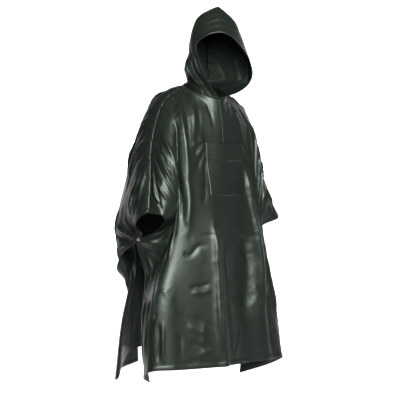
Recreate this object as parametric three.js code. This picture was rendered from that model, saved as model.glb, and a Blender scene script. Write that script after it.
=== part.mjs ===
// A hooded rain poncho of coated nylon, in the form it hangs in when worn, with nobody inside.
// It has a front and a back panel, joined by a seam that slopes from each side of the neck down
// the arm to the sleeve's hem. A hood of two panels is sewn to the neck hole. The front has a
// short slit under a flap, and a patch pocket with its own flap below it. One snap on each side
// closes the front to the back under the arm and so makes the sleeves.
//
// Millimetres. X is to the wearer's left, Y to the back and Z up. The origin is in the middle of
// the neck hole, level with its sides, where the shoulders carry the garment.
import * as THREE from 'three';

// The cut and the cloth
const HALF_WIDTH = 620; // of a panel, from its centre line to a side edge
const LENGTH = 1000; // of a panel, from the neck to the hem on its centre line
const CLOTH = 2; // the wall of every main panel
const HEM = 3; // the wall where an edge is turned twice
const THIN = 1.5; // the wall of the pocket and the flaps
const SEAM_GAP = 0.5; // between two panels that are sewn together
const LAY_GAP = 0.35; // between a panel and what lies on it
const SLIT = 1.6; // width of the cut down the front

// Shares of HALF_WIDTH at which the tables below place the cloth, from right edge to left edge
const STATIONS = {
  edgeRight: -1, foldRight: -0.82, armRight: -0.6, shoulderRight: -0.33, neckRight: -0.15,
  centre: 0, neckLeft: 0.15, shoulderLeft: 0.33, armLeft: 0.6, foldLeft: 0.82, edgeLeft: 1,
};

// The front panel: where each station's thread lies, at that share of LENGTH below the seam
const FRONT = [
  { level: 0,
    edgeRight: [-312, -105, -452], foldRight: [-292, -88, -345], armRight: [-258, -52, -205],
    shoulderRight: [-184, -29, -54], neckRight: [-78, -28, 5], centre: [0, -119, -40],
    neckLeft: [78, -28, 5], shoulderLeft: [196, -30, -53], armLeft: [240, -50, -202],
    foldLeft: [288, -50, -342], edgeLeft: [362, -43, -462] },
  { level: 0.11,
    edgeRight: [-292, -155, -462], foldRight: [-288, -155, -378], armRight: [-262, -138, -262],
    shoulderRight: [-182, -112, -122], neckRight: [-82, -112, -84], centre: [0, -134, -118],
    neckLeft: [88, -106, -84], shoulderLeft: [186, -98, -142], armLeft: [220, -108, -284],
    foldLeft: [256, -106, -398], edgeLeft: [314, -98, -478] },
  { level: 0.2,
    edgeRight: [-266, -134, -484], foldRight: [-226, -158, -438], armRight: [-236, -158, -325],
    shoulderRight: [-184, -138, -212], neckRight: [-80, -138, -200], centre: [0, -141, -203],
    neckLeft: [105, -122, -200], shoulderLeft: [182, -112, -220], armLeft: [206, -108, -340],
    foldLeft: [232, -98, -450], edgeLeft: [256, -76, -502] },
  { level: 0.26,
    edgeRight: [-246, -58, -520], foldRight: [-208, -108, -494], armRight: [-212, -134, -402],
    shoulderRight: [-188, -142, -290], neckRight: [-79, -142, -264], centre: [0, -144, -268],
    neckLeft: [105, -124, -264], shoulderLeft: [182, -114, -295], armLeft: [202, -108, -400],
    foldLeft: [219, -91, -500], edgeLeft: [249, -36, -528] },
  { level: 0.33,
    edgeRight: [-254, 34, -554], foldRight: [-222, -80, -548], armRight: [-202, -116, -464],
    shoulderRight: [-192, -150, -370], neckRight: [-76, -156, -350], centre: [0, -151, -350],
    neckLeft: [105, -129, -350], shoulderLeft: [186, -124, -375], armLeft: [202, -98, -464],
    foldLeft: [226, -68, -560], edgeLeft: [244, 34, -558] },
  { level: 0.4,
    edgeRight: [-256, 22, -612], foldRight: [-230, -62, -614], armRight: [-210, -110, -530],
    shoulderRight: [-196, -155, -440], neckRight: [-77, -170, -424], centre: [0, -159, -424],
    neckLeft: [102, -136, -424], shoulderLeft: [190, -130, -448], armLeft: [216, -94, -540],
    foldLeft: [230, -54, -622], edgeLeft: [246, 24, -622] },
  { level: 0.48,
    edgeRight: [-246, 0, -672], foldRight: [-246, -54, -664], armRight: [-244, -108, -600],
    shoulderRight: [-200, -160, -515], neckRight: [-80, -182, -498], centre: [0, -165, -498],
    neckLeft: [98, -142, -500], shoulderLeft: [195, -137, -520], armLeft: [240, -105, -610],
    foldLeft: [250, -46, -668], edgeLeft: [240, 2, -682] },
  { level: 0.73,
    edgeRight: [-257, 8, -860], foldRight: [-286, -50, -835], armRight: [-309, -130, -775],
    shoulderRight: [-208, -172, -740], neckRight: [-70, -198, -735], centre: [0, -181, -735],
    neckLeft: [95, -163, -735], shoulderLeft: [200, -152, -745], armLeft: [275, -118, -790],
    foldLeft: [292, -38, -850], edgeLeft: [255, 32, -880] },
  { level: 1,
    edgeRight: [-228, -5, -1062], foldRight: [-288, -45, -1035], armRight: [-320, -136, -1000],
    shoulderRight: [-207, -182, -998], neckRight: [-62, -209, -998], centre: [0, -195, -998],
    neckLeft: [95, -184, -998], shoulderLeft: [205, -166, -998], armLeft: [300, -140, -1000],
    foldLeft: [322, -35, -1040], edgeLeft: [262, 62, -1078] },
];

// The back panel, in the same way. Below the sleeve its right side is turned back on itself.
const BACK = [
  { level: 0,
    edgeRight: [-312, -105, -452], foldRight: [-292, -88, -345], armRight: [-258, -52, -205],
    shoulderRight: [-184, -29, -54], neckRight: [-78, -28, 5], centre: [0, 42, 26],
    neckLeft: [78, -28, 5], shoulderLeft: [196, -30, -53], armLeft: [240, -50, -202],
    foldLeft: [288, -50, -342], edgeLeft: [362, -43, -462] },
  { level: 0.045,
    edgeRight: [-326, -80, -465], foldRight: [-308, -50, -345], armRight: [-268, -12, -194],
    shoulderRight: [-179, 6, -6], neckRight: [-88, 12, 35], centre: [0, 74, 2],
    neckLeft: [84, 14, 16], shoulderLeft: [198, 8, -20], armLeft: [262, -8, -190],
    foldLeft: [314, -12, -345], edgeLeft: [366, -8, -475] },
  { level: 0.13,
    edgeRight: [-322, -42, -496], foldRight: [-304, 10, -374], armRight: [-248, 54, -222],
    shoulderRight: [-200, 50, -77], neckRight: [-98, 79, -34], centre: [0, 112, -66],
    neckLeft: [98, 82, -34], shoulderLeft: [205, 55, -78], armLeft: [262, 52, -225],
    foldLeft: [312, 35, -375], edgeLeft: [346, 24, -500] },
  { level: 0.29,
    edgeRight: [-272, -2, -542], foldRight: [-292, 84, -478], armRight: [-242, 128, -350],
    shoulderRight: [-205, 112, -235], neckRight: [-108, 140, -205], centre: [0, 152, -230],
    neckLeft: [105, 140, -205], shoulderLeft: [205, 115, -240], armLeft: [258, 112, -380],
    foldLeft: [294, 86, -490], edgeLeft: [262, -2, -546] },
  { level: 0.37,
    edgeRight: [-276, 58, -578], foldRight: [-281, 124, -525], armRight: [-252, 145, -425],
    shoulderRight: [-202, 140, -322], neckRight: [-110, 158, -292], centre: [0, 166, -315],
    neckLeft: [107, 160, -292], shoulderLeft: [206, 140, -325], armLeft: [264, 128, -460],
    foldLeft: [294, 96, -565], edgeLeft: [264, 26, -610] },
  { level: 0.45,
    edgeRight: [-262, 124, -612], foldRight: [-262, 149, -577], armRight: [-238, 157, -490],
    shoulderRight: [-196, 160, -402], neckRight: [-110, 174, -378], centre: [0, 177, -400],
    neckLeft: [108, 177, -378], shoulderLeft: [208, 158, -405], armLeft: [268, 138, -530],
    foldLeft: [294, 92, -630], edgeLeft: [258, 34, -680] },
  { level: 0.52,
    edgeRight: [-246, 172, -662], foldRight: [-233, 146, -647], armRight: [-208, 162, -566],
    shoulderRight: [-176, 165, -474], neckRight: [-108, 180, -452], centre: [0, 182, -474],
    neckLeft: [108, 184, -452], shoulderLeft: [209, 165, -478], armLeft: [273, 142, -585],
    foldLeft: [299, 97, -683], edgeLeft: [262, 42, -730] },
  { level: 0.59,
    edgeRight: [-180, 202, -712], foldRight: [-224, 146, -704], armRight: [-184, 164, -634],
    shoulderRight: [-158, 169, -546], neckRight: [-105, 185, -525], centre: [0, 187, -547],
    neckLeft: [108, 190, -525], shoulderLeft: [210, 172, -550], armLeft: [278, 147, -640],
    foldLeft: [305, 102, -735], edgeLeft: [266, 52, -780] },
  { level: 0.68,
    edgeRight: [-112, 250, -775], foldRight: [-172, 204, -776], armRight: [-200, 158, -728],
    shoulderRight: [-144, 172, -648], neckRight: [-101, 188, -620], centre: [0, 192, -641],
    neckLeft: [108, 196, -620], shoulderLeft: [212, 181, -645], armLeft: [288, 154, -720],
    foldLeft: [314, 110, -805], edgeLeft: [276, 62, -850] },
  { level: 0.78,
    edgeRight: [-78, 277, -850], foldRight: [-142, 258, -860], armRight: [-216, 178, -835],
    shoulderRight: [-152, 186, -752], neckRight: [-96, 190, -725], centre: [0, 199, -745],
    neckLeft: [108, 204, -725], shoulderLeft: [215, 190, -750], armLeft: [298, 162, -810],
    foldLeft: [326, 120, -885], edgeLeft: [286, 76, -925] },
  { level: 1,
    edgeRight: [-46, 304, -1030], foldRight: [-138, 302, -1054], armRight: [-230, 193, -1072],
    shoulderRight: [-150, 228, -980], neckRight: [-92, 206, -960], centre: [0, 214, -975],
    neckLeft: [108, 220, -980], shoulderLeft: [220, 205, -985], armLeft: [315, 185, -1005],
    foldLeft: [345, 135, -1045], edgeLeft: [300, 100, -1085] },
];

// The largest folds. x runs from the centre line to the wearer's left and y from the seam down,
// both on the cut. height is how far the fold stands out, or in where it is below zero.
const FRONT_FOLDS = [
  { from: [-250, 60], to: [-285, 240], width: 22, height: -10 },
  { from: [-95, 380], to: [-72, 1000], width: 26, height: 10 },
  { from: [-165, 90], to: [-185, 470], width: 17, height: 8 },
  { from: [-215, 70], to: [-232, 400], width: 15, height: 8 },
  { from: [-120, 110], to: [-132, 420], width: 14, height: 6 },
  { from: [60, 480], to: [95, 1000], width: 44, height: -12 },
  { from: [175, 120], to: [215, 560], width: 20, height: -10 },
  { from: [-330, 40], to: [-415, 250], width: 17, height: 9 },
  { from: [-400, 20], to: [-500, 190], width: 16, height: 8 },
  { from: [-300, 600], to: [-262, 1000], width: 40, height: 8 },
  { from: [330, 60], to: [440, 230], width: 17, height: 8 },
  { from: [150, 620], to: [190, 1000], width: 36, height: 8 },
];
const BACK_FOLDS = [
  { from: [-60, 170], to: [-75, 1000], width: 30, height: 12 },
  { from: [20, 260], to: [30, 1000], width: 28, height: -12 },
  { from: [110, 150], to: [125, 1000], width: 34, height: 12 },
  { from: [200, 240], to: [225, 1000], width: 28, height: -12 },
  { from: [290, 150], to: [330, 820], width: 28, height: 10 },
  { from: [-150, 200], to: [-160, 700], width: 26, height: -10 },
  { from: [-225, 110], to: [-250, 560], width: 24, height: 9 },
  { from: [-400, 40], to: [-330, 300], width: 18, height: 8 },
  { from: [400, 50], to: [330, 320], width: 20, height: 8 },
  { from: [-335, 640], to: [-335, 1000], width: 22, height: -5 },
  { from: [-412, 700], to: [-412, 1000], width: 24, height: -6 },
];
const FOLD_RAMP = 60; // a fold reaches its height this far from the seam
const MEET_DEPTH = 0.11; // how far down the panels are drawn together at the seam
const SOFTEN = { rounds: 8, least: 0.05, most: 0.7, sharp: 0.15 };
const EDGE_CELLS = 4; // softening fades out over these cells beside a free edge

// How many cells the cloth is drawn with between these shares across, and these levels down
const ACROSS = [[1, 0.82, 4], [0.82, 0.6, 5], [0.6, 0.33, 6], [0.33, 0.15, 5], [0.15, 0, 6]];
const DOWN = [[0, 0.11, 3], [0.11, 0.2, 3], [0.2, 0.26, 2], [0.26, 0.37, 3], [0.37, 0.48, 3],
  [0.48, 0.73, 6], [0.73, 0.98, 5], [0.98, 1, 1]];

// The hood stands forward of the neck and looks a little to the wearer's right
const HOOD_AXIS = [2, -106]; // x and y of its middle
const HOOD_TURN = THREE.MathUtils.degToRad(25);
// Each row is a section from the rim past the side to the seam at the back, as [to the
// wearer's left, forwards, up]. climb is 0 at the neck and 1 at the crown.
const HOOD_RIGHT = [
  { climb: 0.14, rim: [-30, 40, -5], side: [-107, -16, 31], back: [0, -128, 50] },
  { climb: 0.32, rim: [-69, 60, 53], side: [-123, -8, 65], back: [0, -140, 92] },
  { climb: 0.5, rim: [-92, 70, 113], side: [-106, -4, 115], back: [0, -142, 140] },
  { climb: 0.68, rim: [-96, 80, 150], side: [-102, 0, 168], back: [0, -134, 190] },
  { climb: 0.82, rim: [-66, 100, 176], side: [-93, 6, 217], back: [0, -112, 232] },
  { climb: 0.92, rim: [-38, 108, 186], side: [-70, 16, 258], back: [0, -86, 262] },
  { climb: 1, rim: [-12, 112, 188], side: [0, 24, 292], back: [0, -52, 280] },
];
const HOOD_LEFT = [
  { climb: 0.14, rim: [82, 36, -17], side: [98, -16, 25], back: [0, -128, 50] },
  { climb: 0.32, rim: [110, 48, 20], side: [115, -8, 52], back: [0, -140, 92] },
  { climb: 0.5, rim: [111, 60, 69], side: [109, -4, 98], back: [0, -142, 140] },
  { climb: 0.68, rim: [93, 74, 110], side: [96, 0, 152], back: [0, -134, 190] },
  { climb: 0.82, rim: [54, 92, 150], side: [78, 8, 208], back: [0, -112, 232] },
  { climb: 0.92, rim: [22, 104, 175], side: [56, 16, 252], back: [0, -86, 262] },
  { climb: 1, rim: [-12, 112, 188], side: [0, 24, 292], back: [0, -52, 280] },
];
const HOOD_CELLS_UP = 14;
const RIM_SHARE = 0.07; // the turned hem along the rim, as a share of a section

// What is sewn to the front, in rows and columns of the front panel's own cells
const SLIT_LEVELS = [0, 0.2];
const SLIT_FLAP_CELLS = 3;
const POCKET_LEVELS = [0.2, 0.37];
const POCKET_FLAP_LEVELS = [0.2, 0.26];
const POCKET_SHARE = 0.15; // of HALF_WIDTH, from the centre line to each side
const POCKET_PUFF = 4; // how far the pocket's middle stands off the front
const INSET = 0.5; // from the line an edge follows, so that what lies edge to edge is apart

// A snap under each arm joins the two panels: its middle and the way it faces on each side
const SNAPS = [
  { side: 'right', at: [-263, 15, -547], out: [-0.96, -0.08, -0.24] },
  { side: 'left', at: [253, 15, -551], out: [0.96, -0.08, -0.24] },
];
const SNAP_CLOTH = 2.8; // from the snap's middle to the middle of each panel's wall
const SNAP_FLAT = [48, 95]; // the cloth lies flat this near to it, and is free beyond
// Outlines of a snap's parts, turned about its axis, as [radius, height along it]
const SNAP_PARTS = [
  { part: 'cap', outline: [[0, 4.1], [6, 4.1], [6, 4.7], [4.6, 5.5], [0, 5.7]] },
  { part: 'socket', outline: [[2.6, -0.3], [6, -0.3], [6, 1.5], [2.6, 1.5], [2.6, -0.3]] },
  { part: 'stud', outline: [[0, -1.5], [6, -1.5], [6, -0.6], [2.3, -0.6], [2.3, 1], [0, 1]] },
  { part: 'base', outline: [[0, -5.3], [5, -5.3], [6, -4.8], [6, -4.1], [0, -4.1]] },
];
const SNAP_SIDES = 14;
const CLOTH_GREEN = 0x26332b;
const SNAP_GREY = 0xb9bcbd;

// The value at t of a smooth curve through the points at these rising knots
function through(knots, points, t) {
  const last = knots.length - 1;
  let i = 0;
  while (i < last - 1 && t > knots[i + 1]) i += 1;
  const span = knots[i + 1] - knots[i];
  const x = (t - knots[i]) / span;
  const slope = (k, axis) => {
    const a = Math.max(k - 1, 0);
    const b = Math.min(k + 1, last);
    return (points[b][axis] - points[a][axis]) / (knots[b] - knots[a]);
  };
  return [0, 1, 2].map((axis) => {
    const p = points[i][axis];
    const q = points[i + 1][axis];
    return p * (1 + 2 * x) * (1 - x) ** 2 + q * x * x * (3 - 2 * x)
      + span * (slope(i, axis) * x * (1 - x) ** 2 - slope(i + 1, axis) * x * x * (1 - x));
  });
}

// The point of a panel at a share across and a level down, before its folds
function panelPoint(table, share, level) {
  const names = Object.keys(STATIONS);
  const shares = names.map((name) => STATIONS[name]);
  const line = table.map((row) => through(shares, names.map((name) => row[name]), share));
  return new THREE.Vector3(...through(table.map((row) => row.level), line, level));
}

// How far the folds move the cloth at a place on the cut
function foldHeight(folds, x, y) {
  let height = 0;
  for (const fold of folds) {
    const [ax, ay] = fold.from;
    const dx = fold.to[0] - ax;
    const dy = fold.to[1] - ay;
    const along = ((x - ax) * dx + (y - ay) * dy) / (dx * dx + dy * dy);
    if (along <= 0 && y < ay) continue;
    const t = THREE.MathUtils.clamp(along, 0, 1);
    const off = Math.hypot(x - ax - t * dx, y - ay - t * dy) / fold.width;
    const taper = Math.min(1, 3 * t, fold.to[1] < LENGTH ? 3 * (1 - t) : 1);
    height += fold.height * taper * Math.exp(-off * off);
  }
  return height * Math.min(1, y / FOLD_RAMP);
}

// Rising values from a list of [from, to, cells]
function steps(spans) {
  const values = [spans[0][0]];
  for (const [from, to, cells] of spans) {
    for (let k = 1; k <= cells; k += 1) values.push(from + ((to - from) * k) / cells);
  }
  return values;
}

// A sheet is a grid of points with the normal and the wall at each one
function makeSheet(rows, columns, pointAt, wallAt) {
  const points = rows.map((row, i) => columns.map((column, j) => pointAt(row, column, i, j)));
  const sheet = { points, walls: rows.map((row) => columns.map((column) => wallAt(row, column))) };
  sheet.normals = gridNormals(points);
  return sheet;
}

function gridNormals(points) {
  const rows = points.length;
  const columns = points[0].length;
  return points.map((line, i) => line.map((_, j) => {
    const down = new THREE.Vector3().subVectors(
      points[Math.min(i + 1, rows - 1)][j], points[Math.max(i - 1, 0)][j]);
    const across = new THREE.Vector3().subVectors(
      points[i][Math.min(j + 1, columns - 1)], points[i][Math.max(j - 1, 0)]);
    return down.cross(across).normalize();
  }));
}

// Presses a sheet flat round a snap, at that height along the snap's axis. The distance from
// the snap is taken on the cut, so that no other layer of the cloth is drawn to it.
function press(sheet, shares, { at, out }, height) {
  const axis = new THREE.Vector3(...out).normalize();
  const middle = new THREE.Vector3(...at);
  const [flat, free] = SNAP_FLAT;
  let nearest = { gap: Infinity };
  sheet.points.forEach((line, i) => line.forEach((point, j) => {
    const gap = point.distanceTo(middle);
    if (gap < nearest.gap) nearest = { gap, i, j };
  }));
  sheet.points.forEach((line, i) => line.forEach((point, j) => {
    const across = (shares[j] - shares[nearest.j]) * HALF_WIDTH;
    const down = (levels[i] - levels[nearest.i]) * LENGTH;
    const off = point.clone().sub(middle).dot(axis) - height;
    const weight = 1 - THREE.MathUtils.smoothstep(Math.hypot(across, down), flat, free);
    point.addScaledVector(axis, -off * weight);
  }));
}

// Makes the other face of a sheet its outer one
function turnOver(sheet) {
  sheet.turned = true;
  for (const line of sheet.normals) for (const normal of line) normal.negate();
}

// Moves each point along its own normal
function raise(sheet, heightAt) {
  const moved = sheet.points.map((line, i) => line.map((point, j) => (
    point.clone().addScaledVector(sheet.normals[i][j], heightAt(i, j)))));
  sheet.points = moved;
}

// Where sheets meet at a seam, gives them one normal and draws them SEAM_GAP apart
function sew(sheets) {
  const meeting = new Map();
  for (const sheet of sheets) {
    const lastRow = sheet.points.length - 1;
    const lastColumn = sheet.points[0].length - 1;
    sheet.points.forEach((line, i) => line.forEach((point, j) => {
      if (i > 0 && i < lastRow && j > 0 && j < lastColumn) return;
      const key = point.toArray().map((value) => Math.round(value * 20)).join();
      if (!meeting.has(key)) meeting.set(key, []);
      const inner = sheet.points[THREE.MathUtils.clamp(i, 1, lastRow - 1)];
      meeting.get(key).push({ sheet, i, j,
        inward: inner[THREE.MathUtils.clamp(j, 1, lastColumn - 1)].clone().sub(point) });
    }));
  }
  for (const members of meeting.values()) {
    if (new Set(members.map((member) => member.sheet)).size < 2) continue;
    const shared = new THREE.Vector3();
    for (const { sheet, i, j } of members) shared.add(sheet.normals[i][j]);
    shared.normalize();
    for (const { sheet, i, j, inward } of members) {
      sheet.normals[i][j] = shared.clone();
      inward.addScaledVector(shared, -inward.dot(shared)).normalize();
      sheet.points[i][j] = sheet.points[i][j].clone().addScaledVector(inward, SEAM_GAP / 2);
    }
  }
}

// The closed wall of a sheet. Cells that isCut names are left open.
function wallOf(sheet, isCut = () => false) {
  const { points, normals, walls } = sheet;
  const rows = points.length;
  const columns = points[0].length;
  const positions = [];
  const place = (i, j, side) => points[i][j].clone().addScaledVector(
    normals[i][j], (side * walls[i][j]) / 2);
  const quad = (a, b, c, d) => {
    const corners = sheet.turned ? [a, c, b, a, d, c] : [a, b, c, a, c, d];
    for (const p of corners) positions.push(p.x, p.y, p.z);
  };
  // The ends that face each other across a seam are split along the same diagonal
  const endQuad = (a, b, c, d) => {
    if (a.z < b.z) quad(a, b, c, d);
    else quad(b, c, d, a);
  };
  const open = (i, j) => i < 0 || j < 0 || i >= rows - 1 || j >= columns - 1 || isCut(i, j);
  for (let i = 0; i < rows - 1; i += 1) {
    for (let j = 0; j < columns - 1; j += 1) {
      if (isCut(i, j)) continue;
      const ring = [[i, j], [i + 1, j], [i + 1, j + 1], [i, j + 1]];
      const outer = ring.map(([a, b]) => place(a, b, 1));
      const inner = ring.map(([a, b]) => place(a, b, -1));
      quad(outer[0], outer[1], outer[2], outer[3]);
      quad(inner[0], inner[3], inner[2], inner[1]);
      const beyond = [[i, j - 1], [i + 1, j], [i, j + 1], [i - 1, j]];
      beyond.forEach(([a, b], side) => {
        if (!open(a, b)) return;
        const next = (side + 1) % 4;
        endQuad(outer[next], outer[side], inner[side], inner[next]);
      });
    }
  }
  const geometry = new THREE.BufferGeometry();
  geometry.setAttribute('position', new THREE.Float32BufferAttribute(positions, 3));
  geometry.computeVertexNormals();
  return geometry;
}

// Part of a sheet, moved out so that it lies on it. liftAt is the air left under it.
function layer(sheet, [rowFrom, rowTo], [columnFrom, columnTo], liftAt) {
  const cut = (grid) => grid.slice(rowFrom, rowTo + 1)
    .map((line) => line.slice(columnFrom, columnTo + 1));
  const laid = { points: cut(sheet.points), normals: cut(sheet.normals),
    walls: cut(sheet.walls).map((line) => line.map(() => THIN)) };
  const lastRow = rowTo - rowFrom;
  const lastColumn = columnTo - columnFrom;
  raise(laid, (i, j) => sheet.walls[rowFrom + i][columnFrom + j] / 2 + THIN / 2
    + liftAt(i / lastRow, j / lastColumn));
  const inset = laid.points.map((line, i) => line.map((point, j) => {
    const towards = laid.points[THREE.MathUtils.clamp(i, 1, lastRow - 1)][
      THREE.MathUtils.clamp(j, 1, lastColumn - 1)];
    const way = towards.clone().sub(point);
    return way.length() > 0 ? point.clone().addScaledVector(way.normalize(), INSET) : point;
  }));
  laid.points = inset;
  return laid;
}

const halfShares = steps(ACROSS);
const slitShare = SLIT / 2 / HALF_WIDTH;
const rightShares = halfShares.slice(0, -1).map((share) => -share);
const leftShares = halfShares.slice(0, -1).reverse();
const frontShares = [...rightShares, -slitShare, slitShare, ...leftShares];
const backShares = [...rightShares, 0, ...leftShares];
const levels = steps(DOWN);
const hemLevel = levels[levels.length - 2];
const panelWall = (level) => (level >= hemLevel ? HEM : CLOTH);

// Brings the two panels' top edges onto one line outside the neck, and what is near with them
function meetAtSeam(first, second) {
  const neckShare = STATIONS.neckLeft - 1e-6;
  const deep = MEET_DEPTH;
  backShares.forEach((share, j) => {
    if (Math.abs(share) < neckShare) return;
    const k = share < 0 ? j : j + 1;
    const half = first.points[0][k].clone().sub(second.points[0][j]).multiplyScalar(0.5);
    levels.forEach((level, i) => {
      const weight = Math.max(0, 1 - level / deep) ** 2;
      first.points[i][k].addScaledVector(half, -weight);
      second.points[i][j].addScaledVector(half, weight);
    });
  });
}

// Rounds the neck hole: the top edge inside the neck becomes part of an oval
function roundNeck(sheet, shares) {
  const neck = STATIONS.neckLeft;
  const corner = sheet.points[0][shares.findIndex((share) => share > neck - 1e-6)].clone();
  const middle = sheet.points[0][shares.findIndex((share) => share > -1e-6)].clone();
  shares.forEach((share, j) => {
    if (Math.abs(share) > neck) return;
    const angle = (share / neck) * (Math.PI / 2);
    const target = new THREE.Vector3(corner.x * Math.sin(angle),
      corner.y + (middle.y - corner.y) * Math.cos(angle),
      corner.z + (middle.z - corner.z) * Math.cos(angle));
    const shift = target.sub(sheet.points[0][j]);
    levels.forEach((level, i) => {
      sheet.points[i][j].addScaledVector(shift, Math.max(0, 1 - level / MEET_DEPTH) ** 2);
    });
  });
}

// How sharply the line from a to c turns at b, from 0 for straight on to 1 for straight back
function turnAt(a, b, c) {
  const before = b.clone().sub(a).normalize();
  const after = c.clone().sub(b).normalize();
  return (1 - before.dot(after)) / 2;
}

// Draws points part of the way to the middle of their neighbours, further where the cloth
// would turn too sharply for its wall
function soften(sheet) {
  const { rounds, least, most, sharp } = SOFTEN;
  const lastRow = sheet.points.length - 1;
  const lastColumn = sheet.points[0].length - 1;
  for (let round = 0; round < rounds; round += 1) {
    const before = sheet.points.map((line) => line.map((point) => point.clone()));
    for (let i = 1; i <= lastRow; i += 1) {
      for (let j = 0; j <= lastColumn; j += 1) {
        const pairs = [];
        if (i < lastRow) pairs.push([before[i - 1][j], before[i + 1][j]]);
        if (j > 0 && j < lastColumn) pairs.push([before[i][j - 1], before[i][j + 1]]);
        if (pairs.length < 2) continue;
        const turn = Math.max(...pairs.map(([a, c]) => turnAt(a, before[i][j], c)));
        const fromEdge = Math.min(j, lastColumn - j, lastRow - i) / EDGE_CELLS;
        const share = (least + (most - least) * Math.min(1, turn / sharp)) * Math.min(1, fromEdge);
        const middle = new THREE.Vector3();
        for (const [a, c] of pairs) middle.add(a).add(c);
        sheet.points[i][j].lerp(middle.divideScalar(pairs.length * 2), share);
      }
    }
  }
}

const front = makeSheet(levels, frontShares,
  (level, share) => panelPoint(FRONT, share, level), panelWall);
const back = makeSheet(levels, backShares,
  (level, share) => panelPoint(BACK, share, level), panelWall);
meetAtSeam(front, back);
roundNeck(front, frontShares);
roundNeck(back, backShares);

// Gives a panel its folds and presses it at the snaps
function finishPanel(sheet, shares, folds, isBack) {
  const normals = () => {
    sheet.normals = gridNormals(sheet.points);
    if (isBack) turnOver(sheet);
  };
  normals();
  raise(sheet, (i, j) => foldHeight(folds, shares[j] * HALF_WIDTH, levels[i] * LENGTH));
  soften(sheet);
  for (const snap of SNAPS) press(sheet, shares, snap, isBack ? SNAP_CLOTH : -SNAP_CLOTH);
  normals();
}
finishPanel(front, frontShares, FRONT_FOLDS, false);
finishPanel(back, backShares, BACK_FOLDS, true);

// From the hood's own [left, forwards, up] to the garment's frame
function hoodPlace([left, forward, up]) {
  const [x, y] = HOOD_AXIS;
  return [
    x + left * Math.cos(HOOD_TURN) - forward * Math.sin(HOOD_TURN),
    y - left * Math.sin(HOOD_TURN) - forward * Math.cos(HOOD_TURN),
    up,
  ];
}

// The neck hole's points on one side, from the slit round to the middle of the back
function neckline(side) {
  const neckCells = ACROSS[ACROSS.length - 1][2];
  const frontMiddle = side < 0 ? rightShares.length : rightShares.length + 1;
  const backMiddle = rightShares.length;
  const line = [];
  for (let k = 0; k <= neckCells; k += 1) line.push(front.points[0][frontMiddle + side * k]);
  for (let k = neckCells - 1; k >= 0; k -= 1) line.push(back.points[0][backMiddle + side * k]);
  return line;
}

// One panel of the hood, from the neck hole up to the seam over the crown
function hoodPanel(table, side) {
  const neck = neckline(side);
  const cells = neck.length - 1;
  const shares = [0, RIM_SHARE];
  for (let k = 1; k < cells; k += 1) shares.push(RIM_SHARE + ((1 - RIM_SHARE) * k) / (cells - 1));
  const climbs = steps([[0, 1, HOOD_CELLS_UP]]);
  const knots = [0, ...table.map((row) => row.climb)];
  const sheet = makeSheet(climbs, shares, (climb, share, i, j) => {
    const line = table.map(({ rim, side: middle, back: end }) => (
      hoodPlace(through([0, 0.5, 1], [rim, middle, end], share))));
    return new THREE.Vector3(...through(knots, [neck[j].toArray(), ...line], climb));
  }, (climb, share) => (share <= RIM_SHARE ? HEM : CLOTH));
  if (side > 0) turnOver(sheet);
  return sheet;
}
const hoodRight = hoodPanel(HOOD_RIGHT, -1);
const hoodLeft = hoodPanel(HOOD_LEFT, 1);
sew([front, back, hoodRight, hoodLeft]);

const poncho = new THREE.Group();
poncho.name = 'rain_poncho';

function addPiece(name, geometry, color, roughness) {
  const material = new THREE.MeshStandardMaterial({ color, roughness, metalness: 0 });
  const mesh = new THREE.Mesh(geometry, material);
  mesh.name = name;
  poncho.add(mesh);
}

const slitColumn = rightShares.length;
const rowAt = (level) => levels.findIndex((value) => value > level - 1e-6);
const columnAt = (share) => frontShares.findIndex((value) => value > share - 1e-6);
const rowsOf = ([from, to]) => [rowAt(from), rowAt(to)];
const [, slitEnd] = rowsOf(SLIT_LEVELS);

const slitFlap = layer(front, rowsOf(SLIT_LEVELS),
  [slitColumn, slitColumn + 1 + SLIT_FLAP_CELLS], () => LAY_GAP);
const pocketColumns = [columnAt(-POCKET_SHARE), columnAt(POCKET_SHARE)];
const puff = (down, across) => POCKET_PUFF * Math.sin(Math.PI * across)
  * Math.cos((Math.PI / 2) * down) ** 0.7;
const pocket = layer(front, rowsOf(POCKET_LEVELS), pocketColumns,
  (down, across) => LAY_GAP + puff(down, across));
const flapShare = (POCKET_FLAP_LEVELS[1] - POCKET_FLAP_LEVELS[0])
  / (POCKET_LEVELS[1] - POCKET_LEVELS[0]);
const pocketFlap = layer(front, rowsOf(POCKET_FLAP_LEVELS), pocketColumns,
  (down, across) => LAY_GAP * 2 + THIN + 0.3 + puff(down * flapShare, across));

addPiece('front_panel', wallOf(front, (i, j) => j === slitColumn && i < slitEnd), CLOTH_GREEN, 0.4);
addPiece('back_panel', wallOf(back), CLOTH_GREEN, 0.4);
addPiece('hood_right', wallOf(hoodRight), CLOTH_GREEN, 0.4);
addPiece('hood_left', wallOf(hoodLeft), CLOTH_GREEN, 0.4);
addPiece('slit_flap', wallOf(slitFlap), CLOTH_GREEN, 0.4);
addPiece('chest_pocket', wallOf(pocket), CLOTH_GREEN, 0.4);
addPiece('pocket_flap', wallOf(pocketFlap), CLOTH_GREEN, 0.4);

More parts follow.
